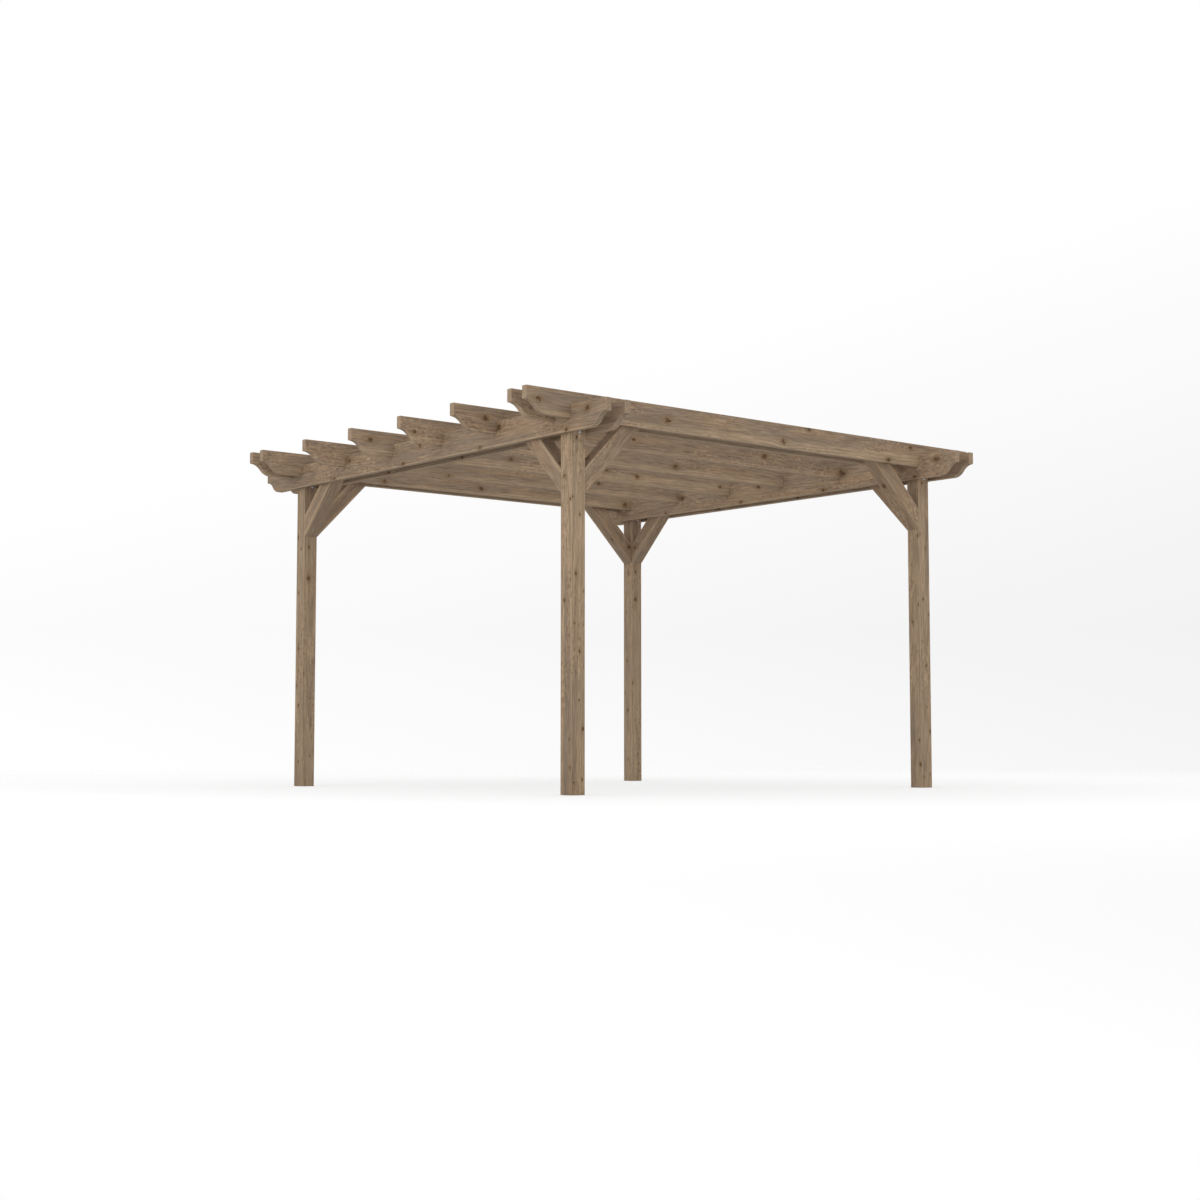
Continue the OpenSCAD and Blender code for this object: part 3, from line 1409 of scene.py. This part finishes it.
@dataclass
class Studio:
    """Camera at the photograph's view, a pale floor, an even white surround and soft lamps.

    The camera's place, turn and focal length were worked out from the pergola's own edges in the
    photograph, whose frame is square. Lengths are in metres, angles in radians, lamps in watts.
    """

    frame_px: float = 1200.0
    focal_px: float = 1858.06
    sensor_mm: float = 36.0
    place: Triple = (-7.6732, -9.2813, 0.2713)
    pitch: float = 0.077673
    yaw: float = 0.686722
    floor_radius: float = 12.0
    floor_corners: int = 96
    floor_fade: tuple[float, float] = (4.5, 11.0)
    floor_colour: str = "#c9c9c9"
    # Camera-only glow that whitens the floor, weaker near the middle: a painted shadow under the pergola
    floor_glow_and_painted_shadow: tuple[float, float] = (0.385, 0.445)
    floor_lift_reach: tuple[float, float] = (1.0, 4.5)
    sky: float = 0.90
    lamp_size: float = 4.5
    lamp_aim: Triple = (0.0, 0.0, 1.2)
    lamps: tuple[tuple[str, Triple, float], ...] = (
        ("left_softbox", (-8.0, -2.0, 3.2), 89.0),
        ("front_softbox", (0.5, -8.0, 1.0), 33.0),
    )
    backdrop: float = 0.93
    backdrop_rise: float = 0.5
    backdrop_low: float = 0.06
    backdrop_turn: float = -0.14

    def build(self) -> None:
        """Makes the camera, the floor, the world and the lamps."""
        scene = bpy.context.scene
        scene.view_settings.view_transform = "Standard"
        self._camera(scene)
        self._floor()
        self._world(scene)
        self._lamps(scene)

    def _camera(self, scene: Scene) -> None:
        """Sets the camera where the photograph was taken.

        Args:
            scene: The scene that looks through it.
        """
        data = bpy.data.cameras.new("camera")
        data.sensor_width = self.sensor_mm
        data.lens = self.sensor_mm * self.focal_px / self.frame_px
        camera = bpy.data.objects.new("camera", data)
        camera.location = self.place
        camera.rotation_euler = (math.pi / 2 + self.pitch, 0.0, -self.yaw)
        scene.collection.objects.link(camera)
        scene.camera = camera

    def _floor(self) -> None:
        """Lays a round white floor that thins into the backdrop and keeps the shadow, deepened by
        painted shadow near the middle.
        """
        material = bpy.data.materials.new("white_studio_floor")
        tree = cleared(material)
        place = put(tree, "TexCoord").outputs["Object"]
        radius = put(tree, "VectorMath", {0: place}, operation="LENGTH")
        seen = put(tree, "LightPath").outputs["Is Camera Ray"]
        # The floor's camera-only glow is weaker under the pergola, which paints shadow there
        (least, most), (near, far) = self.floor_glow_and_painted_shadow, self.floor_lift_reach
        inputs = {"Value": radius, "From Min": near, "From Max": far, "To Min": least, "To Max": most}
        lift = put(tree, "Math", {0: seen, 1: put(tree, "MapRange", inputs)}, operation="MULTIPLY")
        glow = put(tree, "Emission", {"Strength": lift})
        paint = put(tree, "BsdfDiffuse", {"Color": linear(self.floor_colour)})
        white = put(tree, "AddShader", {0: glow, 1: paint})
        full, gone = self.floor_fade
        inputs = {"Value": radius, "From Min": full, "From Max": gone}
        fade = put(tree, "MapRange", inputs, interpolation_type="SMOOTHSTEP")
        clear = put(tree, "BsdfTransparent")
        mixed = put(tree, "MixShader", {0: fade, 1: white, 2: clear})
        put(tree, "OutputMaterial", {"Surface": mixed})
        angle = np.arange(self.floor_corners) * 2 * math.pi / self.floor_corners
        points = self.floor_radius * np.column_stack([np.cos(angle), np.sin(angle), 0 * angle])
        floor = mesh_piece("floor", points, [np.arange(self.floor_corners)[None]], material)

    def _world(self, scene: Scene) -> None:
        """Lights evenly from all round, and shows a near-white backdrop that pales upwards.

        Args:
            scene: The scene that it surrounds.
        """
        world = bpy.data.worlds.new("studio")
        tree = cleared(world)
        direction = put(tree, "TexCoord").outputs["Generated"]
        turn = self.backdrop_turn
        gradient = (turn * math.cos(self.yaw), -turn * math.sin(self.yaw), 0.0)
        fall = put(tree, "VectorMath", {0: direction, 1: gradient}, operation="DOT_PRODUCT")
        height = put(tree, "SeparateXYZ", {0: direction}).outputs[2]
        above = put(tree, "Math", {0: height, 1: self.backdrop_low}, operation="SUBTRACT")
        steep = put(tree, "Math", {0: above}, operation="ABSOLUTE")
        inputs = {0: steep, 1: self.backdrop_rise, 2: self.backdrop}
        paler = put(tree, "Math", inputs, operation="MULTIPLY_ADD")
        level = put(tree, "Math", {0: fall, 1: paler}, operation="ADD")
        capped = put(tree, "Math", {0: level, 1: 1.0}, operation="MINIMUM")
        rays = put(tree, "LightPath").outputs
        inputs = {0: rays["Is Glossy Ray"], 1: rays["Is Transmission Ray"]}
        mirrored = put(tree, "Math", inputs, operation="MAXIMUM")
        shown = put(tree, "Math", {0: rays["Is Camera Ray"], 1: mirrored}, operation="MAXIMUM")
        white = linear("#ffffff")
        backdrop = put(tree, "Background", {"Color": white, "Strength": capped})
        light = put(tree, "Background", {"Color": white, "Strength": self.sky})
        both = put(tree, "MixShader", {0: shown, 1: light, 2: backdrop})
        put(tree, "OutputWorld", {"Surface": both})
        scene.world = world

    def _lamps(self, scene: Scene) -> None:
        """Stands wide soft lamps to the left and in front, which lift the outer faces a little.

        Args:
            scene: The scene that takes them.
        """
        for name, place, watts in self.lamps:
            data = bpy.data.lights.new(name, "AREA")
            data.shape = "DISK"
            data.size = self.lamp_size
            data.energy = watts
            lamp = bpy.data.objects.new(name, data)
            lamp.location = place
            aim = Vector(self.lamp_aim) - lamp.location
            lamp.rotation_euler = aim.to_track_quat("-Z", "Y").to_euler()
            lamp.visible_camera = False
            scene.collection.objects.link(lamp)


def main() -> None:
    """Builds the pergola's pieces in order, then the studio."""
    logging.basicConfig(level=logging.INFO, format="%(name)s: %(message)s")
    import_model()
    wood = WeatheredSoftwood().build()
    steel = GalvanisedSteel().build()
    pieces = [
        piece
        for group in (Posts(wood), Beams(wood), Rafters(wood), Braces(wood), Bolts(steel))
        for piece in group.build()
    ]
    Studio().build()
    LOG.info("%d pieces", len(pieces))


if __name__ == "__main__":
    main()
